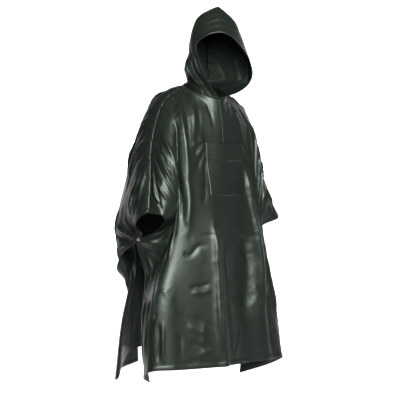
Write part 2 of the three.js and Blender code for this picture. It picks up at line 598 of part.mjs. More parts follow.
// A closed solid turned about the snap's axis. A first point off the axis makes a ring.
function turned(outline, { at, out }) {
  const ring = outline[0][0] > 0;
  const axis = new THREE.Vector3(...out).normalize();
  const turn = new THREE.Quaternion().setFromUnitVectors(new THREE.Vector3(0, 0, 1), axis);
  const middle = new THREE.Vector3(...at);
  const point = ([radius, height], side) => {
    const angle = (2 * Math.PI * (side % SNAP_SIDES)) / SNAP_SIDES;
    return new THREE.Vector3(radius * Math.cos(angle), radius * Math.sin(angle), height)
      .applyQuaternion(turn).add(middle);
  };
  const positions = [];
  const triangle = (...corners) => {
    for (const p of corners) positions.push(p.x, p.y, p.z);
  };
  for (let side = 0; side < SNAP_SIDES; side += 1) {
    for (let k = 0; k < outline.length - 1; k += 1) {
      const [a, b] = [outline[k], outline[k + 1]];
      const [a0, a1] = [point(a, side), point(a, side + 1)];
      const [b0, b1] = [point(b, side), point(b, side + 1)];
      if (ring || a[0] > 0) triangle(a0, a1, b0);
      if (ring || b[0] > 0) triangle(a1, b1, b0);
    }
  }
  const geometry = new THREE.BufferGeometry();
  geometry.setAttribute('position', new THREE.Float32BufferAttribute(positions, 3));
  geometry.computeVertexNormals();
  return geometry;
}

for (const snap of SNAPS) {
  for (const { part, outline } of SNAP_PARTS) {
    // An outline that runs down the axis side would face in, so each is listed foot first
    const upward = outline[0][1] <= outline[outline.length - 1][1];
    const points = upward ? outline : [...outline].reverse();
    addPiece(`snap_${part}_${snap.side}`, turned(points, snap), SNAP_GREY, 0.3);
  }
}

export default poncho;
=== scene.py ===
"""The looks of a hooded rain poncho: its cloth panels, seams, stitches and snaps, in a plain studio.

The cloth is drawn from the tables that shape the solids, on a finer grid. The UV map of a panel is
its flat cut in metres, and creases and stitches are placed on the cut.
"""
import math

import bmesh
import bpy
import numpy as np
from mathutils import Matrix, Vector


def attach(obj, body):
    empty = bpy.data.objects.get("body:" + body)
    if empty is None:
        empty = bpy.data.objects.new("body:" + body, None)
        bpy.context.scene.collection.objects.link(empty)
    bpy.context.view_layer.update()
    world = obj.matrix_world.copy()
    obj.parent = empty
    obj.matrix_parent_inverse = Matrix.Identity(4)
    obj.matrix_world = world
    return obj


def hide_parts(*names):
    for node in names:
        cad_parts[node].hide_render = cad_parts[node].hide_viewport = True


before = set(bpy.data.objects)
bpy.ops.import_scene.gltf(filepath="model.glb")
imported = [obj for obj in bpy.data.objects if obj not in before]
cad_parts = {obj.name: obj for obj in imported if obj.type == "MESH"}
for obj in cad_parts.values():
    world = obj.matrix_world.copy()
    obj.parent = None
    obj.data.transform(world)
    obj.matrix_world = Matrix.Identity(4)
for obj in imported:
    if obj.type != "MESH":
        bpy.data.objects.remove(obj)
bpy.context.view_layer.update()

MM = 0.001

# The cut and the cloth, in millimetres
HALF_WIDTH = 620
LENGTH = 1000
SLIT = 1.6
CLOTH_THICK = 0.6
HEM_THICK = 1.5
HEM_WIDTH = 18
SEAM_STITCH = 7  # from the arm seam to the row of stitches on each side of it

# Shares of HALF_WIDTH at which the tables place the cloth, from right edge to left edge
STATIONS = {
    "edge_right": -1, "fold_right": -0.82, "arm_right": -0.6, "shoulder_right": -0.33,
    "neck_right": -0.15, "centre": 0, "neck_left": 0.15, "shoulder_left": 0.33,
    "arm_left": 0.6, "fold_left": 0.82, "edge_left": 1,
}
NECK_SHARE = STATIONS["neck_left"]

# Each row has the share of LENGTH below the seam, then the place of each station's thread
FRONT = [
    (0, (-312, -105, -452), (-292, -88, -345), (-258, -52, -205), (-184, -29, -54), (-78, -28, 5),
     (0, -119, -40), (78, -28, 5), (196, -30, -53), (240, -50, -202), (288, -50, -342),
     (362, -43, -462)),
    (0.11, (-292, -155, -462), (-288, -155, -378), (-262, -138, -262), (-182, -112, -122),
     (-82, -112, -84), (0, -134, -118), (88, -106, -84), (186, -98, -142), (220, -108, -284),
     (256, -106, -398), (314, -98, -478)),
    (0.2, (-266, -134, -484), (-226, -158, -438), (-236, -158, -325), (-184, -138, -212),
     (-80, -138, -200), (0, -141, -203), (105, -122, -200), (182, -112, -220), (206, -108, -340),
     (232, -98, -450), (256, -76, -502)),
    (0.26, (-246, -58, -520), (-208, -108, -494), (-212, -134, -402), (-188, -142, -290),
     (-79, -142, -264), (0, -144, -268), (105, -124, -264), (182, -114, -295), (202, -108, -400),
     (219, -91, -500), (249, -36, -528)),
    (0.33, (-254, 34, -554), (-222, -80, -548), (-202, -116, -464), (-192, -150, -370),
     (-76, -156, -350), (0, -151, -350), (105, -129, -350), (186, -124, -375), (202, -98, -464),
     (226, -68, -560), (244, 34, -558)),
    (0.4, (-256, 22, -612), (-230, -62, -614), (-210, -110, -530), (-196, -155, -440),
     (-77, -170, -424), (0, -159, -424), (102, -136, -424), (190, -130, -448), (216, -94, -540),
     (230, -54, -622), (246, 24, -622)),
    (0.48, (-246, 0, -672), (-246, -54, -664), (-244, -108, -600), (-200, -160, -515),
     (-80, -182, -498), (0, -165, -498), (98, -142, -500), (195, -137, -520), (240, -105, -610),
     (250, -46, -668), (240, 2, -682)),
    (0.73, (-257, 8, -860), (-286, -50, -835), (-309, -130, -775), (-208, -172, -740),
     (-70, -198, -735), (0, -181, -735), (95, -163, -735), (200, -152, -745), (275, -118, -790),
     (292, -38, -850), (255, 32, -880)),
    (1, (-228, -5, -1062), (-288, -45, -1035), (-320, -136, -1000), (-207, -182, -998),
     (-62, -209, -998), (0, -195, -998), (95, -184, -998), (205, -166, -998), (300, -140, -1000),
     (322, -35, -1040), (262, 62, -1078)),
]

BACK = [
    (0, (-312, -105, -452), (-292, -88, -345), (-258, -52, -205), (-184, -29, -54), (-78, -28, 5),
     (0, 42, 26), (78, -28, 5), (196, -30, -53), (240, -50, -202), (288, -50, -342), (362, -43, -462)),
    (0.045, (-326, -80, -465), (-308, -50, -345), (-268, -12, -194), (-179, 6, -6), (-88, 12, 35),
     (0, 74, 2), (84, 14, 16), (198, 8, -20), (262, -8, -190), (314, -12, -345), (366, -8, -475)),
    (0.13, (-322, -42, -496), (-304, 10, -374), (-248, 54, -222), (-200, 50, -77), (-98, 79, -34),
     (0, 112, -66), (98, 82, -34), (205, 55, -78), (262, 52, -225), (312, 35, -375), (346, 24, -500)),
    (0.29, (-272, -2, -542), (-292, 84, -478), (-242, 128, -350), (-205, 112, -235), (-108, 140, -205),
     (0, 152, -230), (105, 140, -205), (205, 115, -240), (258, 112, -380), (294, 86, -490),
     (262, -2, -546)),
    (0.37, (-276, 58, -578), (-281, 124, -525), (-252, 145, -425), (-202, 140, -322), (-110, 158, -292),
     (0, 166, -315), (107, 160, -292), (206, 140, -325), (264, 128, -460), (294, 96, -565),
     (264, 26, -610)),
    (0.45, (-262, 124, -612), (-262, 149, -577), (-238, 157, -490), (-196, 160, -402),
     (-110, 174, -378), (0, 177, -400), (108, 177, -378), (208, 158, -405), (268, 138, -530),
     (294, 92, -630), (258, 34, -680)),
    (0.52, (-246, 172, -662), (-233, 146, -647), (-208, 162, -566), (-176, 165, -474),
     (-108, 180, -452), (0, 182, -474), (108, 184, -452), (209, 165, -478), (273, 142, -585),
     (299, 97, -683), (262, 42, -730)),
    (0.59, (-180, 202, -712), (-224, 146, -704), (-184, 164, -634), (-158, 169, -546),
     (-105, 185, -525), (0, 187, -547), (108, 190, -525), (210, 172, -550), (278, 147, -640),
     (305, 102, -735), (266, 52, -780)),
    (0.68, (-112, 250, -775), (-172, 204, -776), (-200, 158, -728), (-144, 172, -648),
     (-101, 188, -620), (0, 192, -641), (108, 196, -620), (212, 181, -645), (288, 154, -720),
     (314, 110, -805), (276, 62, -850)),
    (0.78, (-78, 277, -850), (-142, 258, -860), (-216, 178, -835), (-152, 186, -752), (-96, 190, -725),
     (0, 199, -745), (108, 204, -725), (215, 190, -750), (298, 162, -810), (326, 120, -885),
     (286, 76, -925)),
    (1, (-46, 304, -1030), (-138, 302, -1054), (-230, 193, -1072), (-150, 228, -980), (-92, 206, -960),
     (0, 214, -975), (108, 220, -980), (220, 205, -985), (315, 185, -1005), (345, 135, -1045),
     (300, 100, -1085)),
]

# The largest folds of the solids: start and end on the cut, width and height
FRONT_FOLDS = [
    ((-250, 60), (-285, 240), 22, -10), ((-95, 380), (-72, 1000), 26, 10),
    ((-165, 90), (-185, 470), 17, 8), ((-215, 70), (-232, 400), 15, 8),
    ((-120, 110), (-132, 420), 14, 6), ((60, 480), (95, 1000), 44, -12),
    ((175, 120), (215, 560), 20, -10), ((-330, 40), (-415, 250), 17, 9),
    ((-400, 20), (-500, 190), 16, 8), ((-300, 600), (-262, 1000), 40, 8),
    ((330, 60), (440, 230), 17, 8), ((150, 620), (190, 1000), 36, 8),
]
BACK_FOLDS = [
    ((-60, 170), (-75, 1000), 30, 12), ((20, 260), (30, 1000), 28, -12),
    ((110, 150), (125, 1000), 34, 12), ((200, 240), (225, 1000), 28, -12),
    ((290, 150), (330, 820), 28, 10), ((-150, 200), (-160, 700), 26, -10),
    ((-225, 110), (-250, 560), 24, 9), ((-400, 40), (-330, 300), 18, 8),
    ((400, 50), (330, 320), 20, 8), ((-335, 640), (-335, 1000), 22, -5),
    ((-412, 700), (-412, 1000), 24, -6),
]
FOLD_RAMP = 60  # below the seam, over which the folds rise
MEET_DEPTH = 0.11  # of LENGTH, over which the panels part from the seam
# The solids' cloth is drawn together where it turns: never quite free, most at a sharp turn
SOFTEN = {"rounds": 8, "least": 0.05, "most": 0.7, "sharp": 0.15}
EDGE_CELLS = 4  # from a free edge, over which the softening rises

# Cells of the solids between these shares and levels, and how many fine cells one is cut into
ACROSS = [(1, 0.82, 4), (0.82, 0.6, 5), (0.6, 0.33, 6), (0.33, 0.15, 5), (0.15, 0, 6)]
DOWN = [(0, 0.11, 3), (0.11, 0.2, 3), (0.2, 0.26, 2), (0.26, 0.37, 3), (0.37, 0.48, 3),
        (0.48, 0.73, 6), (0.73, 0.98, 5), (0.98, 1, 1)]
FINE_ACROSS = 4
FINE_DOWN = 7
FINE_CLIMB = 6

# The hood stands forward of the neck and looks a little to the wearer's right. Each row is a
# section, as (to the wearer's left, forwards, up) at its rim, its side and its back seam.
HOOD_AXIS = (2, -106)
HOOD_TURN = math.radians(25)
HOOD_RIGHT = [
    (0.14, (-30, 40, -5), (-107, -16, 31), (0, -128, 50)),
    (0.32, (-69, 60, 53), (-123, -8, 65), (0, -140, 92)),
    (0.5, (-92, 70, 113), (-106, -4, 115), (0, -142, 140)),
    (0.68, (-96, 80, 150), (-102, 0, 168), (0, -134, 190)),
    (0.82, (-66, 100, 176), (-93, 6, 217), (0, -112, 232)),
    (0.92, (-38, 108, 186), (-70, 16, 258), (0, -86, 262)),
    (1, (-12, 112, 188), (0, 24, 292), (0, -52, 280)),
]
HOOD_LEFT = [
    (0.14, (70, 36, -16), (96, -16, 24), (0, -128, 50)),
    (0.32, (110, 48, 20), (115, -8, 52), (0, -140, 92)),
    (0.5, (111, 60, 69), (109, -4, 98), (0, -142, 140)),
    (0.68, (93, 74, 110), (96, 0, 152), (0, -134, 190)),
    (0.82, (54, 92, 150), (78, 8, 208), (0, -112, 232)),
    (0.92, (22, 104, 175), (56, 16, 252), (0, -86, 262)),
    (1, (-12, 112, 188), (0, 24, 292), (0, -52, 280)),
]
HOOD_CELLS_UP = 14
HOOD_DEPTH = 300  # of a section, from the rim to the back seam, on the cut
HOOD_HEIGHT = 300

SLIT_END = 0.2
SLIT_FLAP_WIDTH = 0.075
POCKET_LEVELS = (0.2, 0.37)
POCKET_FLAP_LEVELS = (0.2, 0.26)
POCKET_PUFF = 4
PATCH_LIFT = 1.0  # of a patch off the front
FLAP_LIFT = 1.3  # of the pocket's flap off the pocket

# A snap under each arm: its middle and the way it faces
SNAPS = {
    "right": ((-263, 15, -547), (-0.96, -0.08, -0.24)),
    "left": ((253, 15, -551), (0.96, -0.08, -0.24)),
}
SNAP_CLOTH = 2.8  # from the snap's middle to the middle of each cloth
SNAP_FLAT = (48, 95)  # flat up to the first distance, free past the second


def through(knots, points, values):
    """The points, at these values of the knots, of a smooth curve through the given points."""
    knots = np.asarray(knots, float)
    points = np.asarray(points, float)
    values = np.asarray(values, float)
    last = len(knots) - 1
    low = np.maximum(np.arange(last + 1) - 1, 0)
    high = np.minimum(np.arange(last + 1) + 1, last)
    shape = (-1,) + (1,) * (points.ndim - 1)
    slopes = (points[high] - points[low]) / (knots[high] - knots[low]).reshape(shape)
    i = np.clip(np.searchsorted(knots, values) - 1, 0, last - 1)
    span = knots[i + 1] - knots[i]
    x = ((values - knots[i]) / span).reshape(shape)
    rise = slopes[i] * x * (1 - x) ** 2 - slopes[i + 1] * x * x * (1 - x)
    return (points[i] * (1 + 2 * x) * (1 - x) ** 2 + points[i + 1] * x * x * (3 - 2 * x)
            + span.reshape(shape) * rise)


def steps(spans, finer=1):
    """Rising values from a list of (start, end, cells)."""
    values = [spans[0][0]]
    for start, end, cells in spans:
        values += [start + (end - start) * k / (cells * finer) for k in range(1, cells * finer + 1)]
    return np.array(values)


def unit(vectors):
    return vectors / np.maximum(np.linalg.norm(vectors, axis=-1, keepdims=True), 1e-9)


def smooth(x, low, high):
    """0 below low, 1 above high, and a soft step between them."""
    t = np.clip((x - low) / (high - low), 0, 1)
    return t * t * (3 - 2 * t)


def grid_normals(points):
    down = np.empty_like(points)
    across = np.empty_like(points)
    down[1:-1] = points[2:] - points[:-2]
    down[0] = points[1] - points[0]
    down[-1] = points[-1] - points[-2]
    across[:, 1:-1] = points[:, 2:] - points[:, :-2]
    across[:, 0] = points[:, 1] - points[:, 0]
    across[:, -1] = points[:, -1] - points[:, -2]
    return unit(np.cross(down, across))


half = steps(ACROSS)
SHARES = np.concatenate([-half[:-1], [0], half[:-1][::-1]])
LEVELS = steps(DOWN)
half = steps(ACROSS, FINE_ACROSS)
SLIT_SHARE = SLIT / 2 / HALF_WIDTH
BACK_SHARES = np.concatenate([-half[:-1], [0], half[:-1][::-1]])
FRONT_SHARES = np.concatenate([-half[:-1], [-SLIT_SHARE, SLIT_SHARE], half[:-1][::-1]])
FINE_LEVELS = steps(DOWN, FINE_DOWN)


def drawn_panel(table):
    """A panel's points at the solids' own cells, before its folds."""
    places = np.array([row[1:] for row in table], float).transpose(1, 0, 2)
    lines = through(list(STATIONS.values()), places, SHARES).transpose(1, 0, 2)
    return through([row[0] for row in table], lines, LEVELS)


def meet_at_seam(first, second, columns_first, columns_second, levels):
    """Brings the panels' top edges onto one line outside the neck."""
    half_gap = (first[0, columns_first] - second[0, columns_second]) / 2
    weight = (np.maximum(0, 1 - levels / MEET_DEPTH) ** 2)[:, None, None]
    first[:, columns_first] -= half_gap * weight
    second[:, columns_second] += half_gap * weight


def round_neck(points):
    """The top edge inside the neck becomes part of an oval."""
    inside = np.flatnonzero(np.abs(SHARES) <= NECK_SHARE + 1e-9)
    corner = points[0, inside[-1]].copy()
    middle = points[0, inside[len(inside) // 2]].copy()
    angle = SHARES[inside] / NECK_SHARE * math.pi / 2
    goal = np.stack([
        corner[0] * np.sin(angle),
        corner[1] + (middle[1] - corner[1]) * np.cos(angle),
        corner[2] + (middle[2] - corner[2]) * np.cos(angle),
    ], axis=-1)
    shift = goal - points[0, inside]
    points[:, inside] += shift * (np.maximum(0, 1 - LEVELS / MEET_DEPTH) ** 2)[:, None, None]


def fold_height(folds, x, y):
    height = np.zeros_like(x)
    for (ax, ay), (bx, by), width, tall in folds:
        dx, dy = bx - ax, by - ay
        along = ((x - ax) * dx + (y - ay) * dy) / (dx * dx + dy * dy)
        t = np.clip(along, 0, 1)
        off = np.hypot(x - ax - t * dx, y - ay - t * dy) / width
        taper = np.minimum(1, 3 * t)
        if by < LENGTH:
            taper = np.minimum(taper, 3 * (1 - t))
        height += np.where((along <= 0) & (y < ay), 0, tall * taper * np.exp(-off * off))
    return height * np.minimum(1, y / FOLD_RAMP)


def turn_at(before, here, after):
    return (1 - (unit(here - before) * unit(after - here)).sum(-1)) / 2


def soften(points):
    """Draws points towards the middle of their neighbours where the cloth turns sharply."""
    rows, columns = points.shape[:2]
    i, j = np.mgrid[1:rows - 1, 1:columns - 1]
    from_edge = np.minimum(np.minimum(j, columns - 1 - j), rows - 1 - i) / EDGE_CELLS
    for _ in range(SOFTEN["rounds"]):
        here = points[1:-1, 1:-1].copy()
        pairs = [(points[:-2, 1:-1], points[2:, 1:-1]), (points[1:-1, :-2], points[1:-1, 2:])]
        turn = np.maximum(*[turn_at(a, here, b) for a, b in pairs])
        share = SOFTEN["least"] + (SOFTEN["most"] - SOFTEN["least"]) * np.minimum(
            1, turn / SOFTEN["sharp"])
        goal = sum(a + b for a, b in pairs) / 4
        points[1:-1, 1:-1] = here + (goal - here) * (share * np.minimum(1, from_edge))[..., None]


def press(points, shares, levels, at, out, height):
    """Presses a panel flat round a snap."""
    axis = unit(np.array(out))
    gap = np.linalg.norm(points - np.array(at), axis=-1)
    i, j = np.unravel_index(np.argmin(gap), gap.shape)
    across = (shares - shares[j])[None, :] * HALF_WIDTH
    down = (levels - levels[i])[:, None] * LENGTH
    off = (points - np.array(at)) @ axis - height
    weight = 1 - smooth(np.hypot(across, down), *SNAP_FLAT)
    points -= (off * weight)[..., None] * axis


def finished_panel(points, folds, side):
    """The solids' middle surface. side is 1 where the grid's normals face out, else -1."""
    x, y = np.meshgrid(SHARES * HALF_WIDTH, LEVELS * LENGTH)
    points += grid_normals(points) * side * fold_height(folds, x, y)[..., None]
    soften(points)
    for at, out in SNAPS.values():
        press(points, SHARES, LEVELS, at, out, -side * SNAP_CLOTH)
    return points


def refined(points, shares):
    """The same surface through finer cells."""
    rows = through(LEVELS, points, FINE_LEVELS)
    return through(SHARES, rows.transpose(1, 0, 2), shares).transpose(1, 0, 2)


front = drawn_panel(FRONT)
back = drawn_panel(BACK)
outside = np.flatnonzero(np.abs(SHARES) >= NECK_SHARE - 1e-9)
meet_at_seam(front, back, outside, outside, LEVELS)
round_neck(front)
round_neck(back)
front = refined(finished_panel(front, FRONT_FOLDS, 1), FRONT_SHARES)
back = refined(finished_panel(back, BACK_FOLDS, -1), BACK_SHARES)
front_outside = np.flatnonzero(np.abs(FRONT_SHARES) >= NECK_SHARE - 1e-9)
back_outside = np.flatnonzero(np.abs(BACK_SHARES) >= NECK_SHARE - 1e-9)
meet_at_seam(front, back, front_outside, back_outside, FINE_LEVELS)


# Creases, listed on the cut: the points of a line, its width and its height, below 0 for a
# trough. x runs from the centre line to the wearer's left and y from the seam down.
SLEEVE_CREASES = [
    ([(300, 26), (332, 140), (362, 285)], 11, 6), ([(336, 20), (382, 120), (430, 262)], 10, -5),
    ([(368, 34), (404, 118), (452, 215)], 9, 5), ([(404, 20), (442, 110), (478, 222)], 10, -4.5),
    ([(440, 14), (520, 40), (600, 76)], 9, 5), ([(452, 30), (520, 62), (592, 112)], 8, -4.5),
    ([(482, 26), (520, 120), (548, 205)], 9, 4), ([(548, 16), (578, 92), (590, 160)], 8, -3.5),
    ([(600, 322), (545, 330), (462, 362)], 10, 5), ([(600, 342), (528, 384), (440, 452)], 10, -4.5),
    ([(600, 362), (562, 430), (520, 530)], 11, 5), ([(600, 352), (575, 300), (520, 236)], 9, 4),
    ([(590, 372), (588, 450), (572, 560)], 10, -4),
]
FRONT_CREASES = [
    # from the shoulder and the neck down to the pocket
    ([(-152, 30), (-186, 110), (-204, 200)], 9, 4.5), ([(-128, 24), (-160, 130), (-182, 246)], 8, -4),
    ([(-104, 24), (-132, 120), (-158, 236)], 9, 4.5), ([(-74, 28), (-98, 110), (-124, 186)], 8, -3.5),
    ([(-94, 200), (-118, 224), (-152, 252)], 8, 4), ([(-94, 216), (-124, 262), (-158, 306)], 8, -3.5),
    ([(-96, 192), (-130, 200), (-172, 216)], 7, 3.5), ([(-98, 240), (-110, 330), (-128, 410)], 9, -3.5),
    ([(96, 60), (122, 150), (130, 250)], 10, 4.5), ([(132, 40), (160, 140), (168, 250)], 10, -4),
    ([(96, 196), (124, 232), (160, 250)], 8, 3.5), ([(200, 60), (236, 170), (240, 290)], 11, 4.5),
    ([(52, 24), (60, 90), (50, 150)], 9, 3), ([(-40, 30), (-46, 90), (-40, 160)], 9, -3),
    # the arm's length of cloth, from the shoulder to the side
    ([(-226, 60), (-248, 160), (-238, 300), (-208, 440)], 22, -15),
    ([(-352, 46), (-372, 100), (-400, 170)], 10, 5), ([(-196, 110), (-184, 300), (-182, 520)], 20, 7),
    ([(-290, 300), (-282, 420), (-300, 560)], 13, 5), ([(-340, 330), (-350, 460), (-350, 600)], 13, -5),
    ([(-400, 470), (-380, 620), (-392, 800)], 15, 5),
    # below the pocket
    ([(-94, 440), (-90, 640), (-93, 820), (-90, 990)], 12, 9),
    ([(-206, 556), (-184, 584), (-160, 566), (-142, 532)], 10, -4),
    ([(-184, 702), (-152, 704), (-120, 693)], 8, -4), ([(-180, 722), (-146, 726), (-112, 714)], 8, 3),
    ([(112, 450), (104, 690), (56, 910)], 38, -10), ([(190, 480), (182, 700), (130, 900)], 24, 5),
    ([(-24, 540), (-6, 700), (30, 896)], 20, 7), ([(100, 246), (150, 420), (194, 604)], 14, 9),
    ([(150, 300), (200, 450), (246, 610)], 15, -6), ([(240, 540), (300, 700), (330, 860)], 18, 7),
    ([(-309, 800), (-312, 900), (-306, 988)], 8, 4.5), ([(-336, 800), (-334, 900), (-336, 988)], 10, -4),
    ([(-200, 838), (-166, 860), (-128, 882)], 7, 2.6), ([(-192, 902), (-150, 922), (-108, 932)], 7, -2.6),
    ([(-176, 952), (-148, 944), (-122, 928)], 7, 2.6), ([(-140, 816), (-152, 880), (-148, 966)], 7, 2.4),
    ([(-230, 860), (-222, 900), (-226, 968)], 8, -3), ([(-500, 600), (-486, 800), (-496, 988)], 16, -6),
    ([(-440, 620), (-444, 800), (-450, 988)], 14, 5), ([(-560, 600), (-556, 800), (-566, 980)], 14, 5),
    ([(0, 700), (8, 820), (2, 988)], 13, 4), ([(212, 700), (226, 850), (222, 988)], 15, -5),
    ([(400, 560), (392, 760), (400, 988)], 16, 6), ([(470, 540), (462, 740), (470, 980)], 14, -5),
    ([(540, 560), (536, 760), (544, 980)], 14, 5), ([(300, 330), (282, 480), (290, 640)], 13, -5),
    ([(420, 300), (400, 400), (372, 520)], 12, 5),
]
BACK_CREASES = [
    ([(-150, 40), (-176, 150), (-190, 280)], 11, 5), ([(-196, 50), (-216, 160), (-240, 300)], 11, -5),
    ([(-110, 60), (-122, 200), (-118, 360)], 12, -4), ([(150, 40), (180, 150), (196, 300)], 11, 5),
    ([(192, 50), (222, 160), (244, 300)], 11, -5), ([(70, 60), (64, 200), (72, 340)], 12, 4),
    ([(-282, 30), (-304, 150), (-322, 300)], 11, 5), ([(-24, 40), (-20, 150), (-26, 300)], 12, 3.5),
    ([(280, 60), (300, 200), (310, 360)], 12, 5), ([(-560, 60), (-548, 150), (-560, 250)], 12, 6),
    ([(-520, 120), (-560, 200), (-590, 300)], 10, -5), ([(-440, 300), (-470, 420), (-520, 500)], 12, 5),
    ([(-300, 420), (-310, 560), (-292, 700)], 14, 5), ([(-260, 520), (-268, 700), (-256, 880)], 14, -6),
    ([(-480, 560), (-470, 660), (-476, 780)], 13, 5), ([(-530, 640), (-520, 760), (-528, 900)], 13, -5),
    ([(-200, 640), (-196, 800), (-206, 988)], 15, 5), ([(-120, 500), (-128, 700), (-118, 988)], 15, -5),
    ([(70, 480), (76, 700), (66, 988)], 15, -5), ([(168, 520), (172, 740), (160, 988)], 15, 5),
    ([(280, 500), (272, 700), (286, 988)], 15, -6), ([(380, 460), (392, 700), (380, 988)], 15, 6),
    ([(450, 500), (446, 700), (456, 980)], 14, -6), ([(520, 480), (528, 700), (516, 980)], 14, 5),
    ([(-30, 700), (-44, 760), (-90, 800)], 10, 3), ([(120, 640), (160, 668), (214, 660)], 10, -3),
]
HOOD_CREASES = {
    "right": [
        ([(60, 12), (98, 90), (166, 172)], 9, 5), ([(100, 12), (142, 80), (214, 152)], 9, -4.5),
        ([(142, 12), (176, 70), (240, 130)], 9, 5), ([(30, 16), (52, 90), (88, 172)], 9, -4),
        ([(182, 14), (222, 78), (270, 122)], 9, -4), ([(24, 60), (42, 130), (70, 214)], 10, 4),
        ([(224, 16), (250, 60), (280, 96)], 8, 4), ([(120, 150), (170, 210), (216, 262)], 11, 3),
    ],
    "left": [
        ([(42, 14), (62, 100), (52, 200)], 10, 4.5), ([(84, 12), (100, 80), (110, 168)], 9, -4),
        ([(128, 12), (142, 90), (150, 176)], 9, 4.5), ([(176, 14), (196, 100), (206, 196)], 10, -4),
        ([(226, 16), (240, 80), (256, 150)], 9, 4), ([(100, 190), (150, 230), (196, 270)], 11, 3),
    ],
}
CREASE_SCALE = 1.35
CREASE_STEP = 12  # along a crease, from bend to bend
SMALL_CREASES = {"count": 140, "long": (30, 120), "wide": (6, 12), "tall": (0.7, 2.0)}
HOOD_SMALL_CREASES = 17
SEEDS = {
    "front": 3, "back": 5, "seams": 11, "hood right": 21, "hood left": 23,
    "small front": 41, "small back": 43,
}

# The relief of sewing. A hem stands proud in its middle and is sunk at its stitches.
HEM_PROUD = 0.7
HEM_SUNK = 0.9
HOOD_HEM_SUNK = 0.8
HEM_STITCH_REACH = 3.5
# The puckers beside a seam, as the length and the height of each wave, and how far they reach
SEAM_WAVES = ((46, 1.5), (27, 1.3), (17, 0.8))
SEAM_PUCKER_REACH = 34
SEAM_GROOVE = 1.8
SEAM_GROOVE_REACH = 7
HOOD_WAVES = ((31, 1.3), (19, 0.9))
HOOD_PUCKER_REACH = 24
NECK_PUCKER_REACH = 22
HOOD_GROOVE = 1.2
HOOD_GROOVE_REACH = 5


def mirrored(creases):
    return [([(-x, y) for x, y in line], width, tall) for line, width, tall in creases]


def small_creases(width, length, count, seed):
    """Shallow creases left by packing, in lines that mostly run across or down."""
    chance = np.random.default_rng(seed)
    creases = []
    for _ in range(count):
        middle = chance.uniform((-width, 30), (width, length - 10))
        turn = chance.choice((0.1, 0.5, 1.1)) * math.pi / 2 + chance.normal(0, 0.35)
        reach = chance.uniform(*SMALL_CREASES["long"]) / 2 * np.array([math.cos(turn), math.sin(turn)])
        bend = chance.normal(0, 6, 2)
        tall = chance.uniform(*SMALL_CREASES["tall"]) * chance.choice((-1, 1))
        line = [middle - reach, middle + bend, middle + reach]
        creases.append((line, chance.uniform(*SMALL_CREASES["wide"]), tall))
    return creases


def crease_height(creases, x, y, seed):
    """Soft ridges and troughs along lines that wander a little and fade out at both ends."""
    chance = np.random.default_rng(seed)
    height = np.zeros_like(x)
    for line, width, tall in creases:
        spots = np.array(line, float)
        length = np.concatenate([[0], np.cumsum(np.linalg.norm(np.diff(spots, axis=0), axis=1))])
        count = max(4, int(length[-1] / CREASE_STEP))
        flat = np.concatenate([spots, np.zeros((len(spots), 1))], axis=1)
        path = through(length, flat, np.linspace(0, length[-1], count))[:, :2]
        path += np.cumsum(chance.normal(0, width * 0.09, path.shape), axis=0)
        reach = 3 * width
        near = ((x > path[:, 0].min() - reach) & (x < path[:, 0].max() + reach)
                & (y > path[:, 1].min() - reach) & (y < path[:, 1].max() + reach))
        px, py = x[near], y[near]
        nearest = np.full(px.shape, np.inf)
        place = np.zeros(px.shape)
        for k in range(count - 1):
            a, d = path[k], path[k + 1] - path[k]
            t = np.clip(((px - a[0]) * d[0] + (py - a[1]) * d[1]) / max(d @ d, 1e-6), 0, 1)
            off = np.hypot(px - a[0] - t * d[0], py - a[1] - t * d[1])
            closer = off < nearest
            nearest[closer] = off[closer]
            place[closer] = (k + t[closer]) / (count - 1)
        fade = smooth(place, 0, 0.25) * smooth(1 - place, 0, 0.35)
        uneven = 1 + 0.25 * np.sin(place * chance.uniform(7, 13) + chance.uniform(0, 6))
        height[near] += tall * fade * uneven * (1 + (nearest / width) ** 2) ** -2
    return height


def hem_relief(inward, sunk):
    """A hem's height at a distance in from its edge."""
    proud = HEM_PROUD * np.exp(-((inward - HEM_WIDTH / 2) / (HEM_WIDTH / 2.6)) ** 2)
    return proud - sunk * np.exp(-((inward - HEM_WIDTH) / HEM_STITCH_REACH) ** 2)


def with_height(points, creases, shares, side, seed):
    """A panel's fine points with its creases and the relief of its hems, sunk at their stitches."""
    x, y = np.meshgrid(shares * HALF_WIDTH, FINE_LEVELS * LENGTH)
    height = CREASE_SCALE * crease_height(creases, x, y, seed) * smooth(y, 4, 40)
    hem = np.minimum(LENGTH - y, HALF_WIDTH - np.abs(x))
    height += hem_relief(hem, HEM_SUNK)
    return points + grid_normals(points) * (side * height)[..., None]


def sewn_edge(first, second, columns_first, columns_second, seed):
    """Puckers along the seam that two panels share, and the groove of the seam itself."""
    chance = np.random.default_rng(seed)
    out = unit(grid_normals(first)[0, columns_first] - grid_normals(second)[0, columns_second])
    along = np.cumsum(np.linalg.norm(np.diff(
        first[0, columns_first], axis=0, prepend=first[0, columns_first][:1]), axis=1))
    wave = np.zeros_like(along)
    for length, tall in SEAM_WAVES:
        phase = chance.uniform(0, 6) + 1.6 * np.sin(along / 83 + chance.uniform(0, 6))
        wave += tall * np.sin(along * 2 * math.pi / length + phase)
    down = FINE_LEVELS * LENGTH
    pucker = wave[None, :] * np.exp(-(down / SEAM_PUCKER_REACH) ** 2)[:, None]
    groove = -SEAM_GROOVE * np.exp(-(down / SEAM_GROOVE_REACH) ** 2)[:, None]
    shift = (pucker + groove)[..., None] * out[None]
    first[:, columns_first] += shift
    second[:, columns_second] += shift


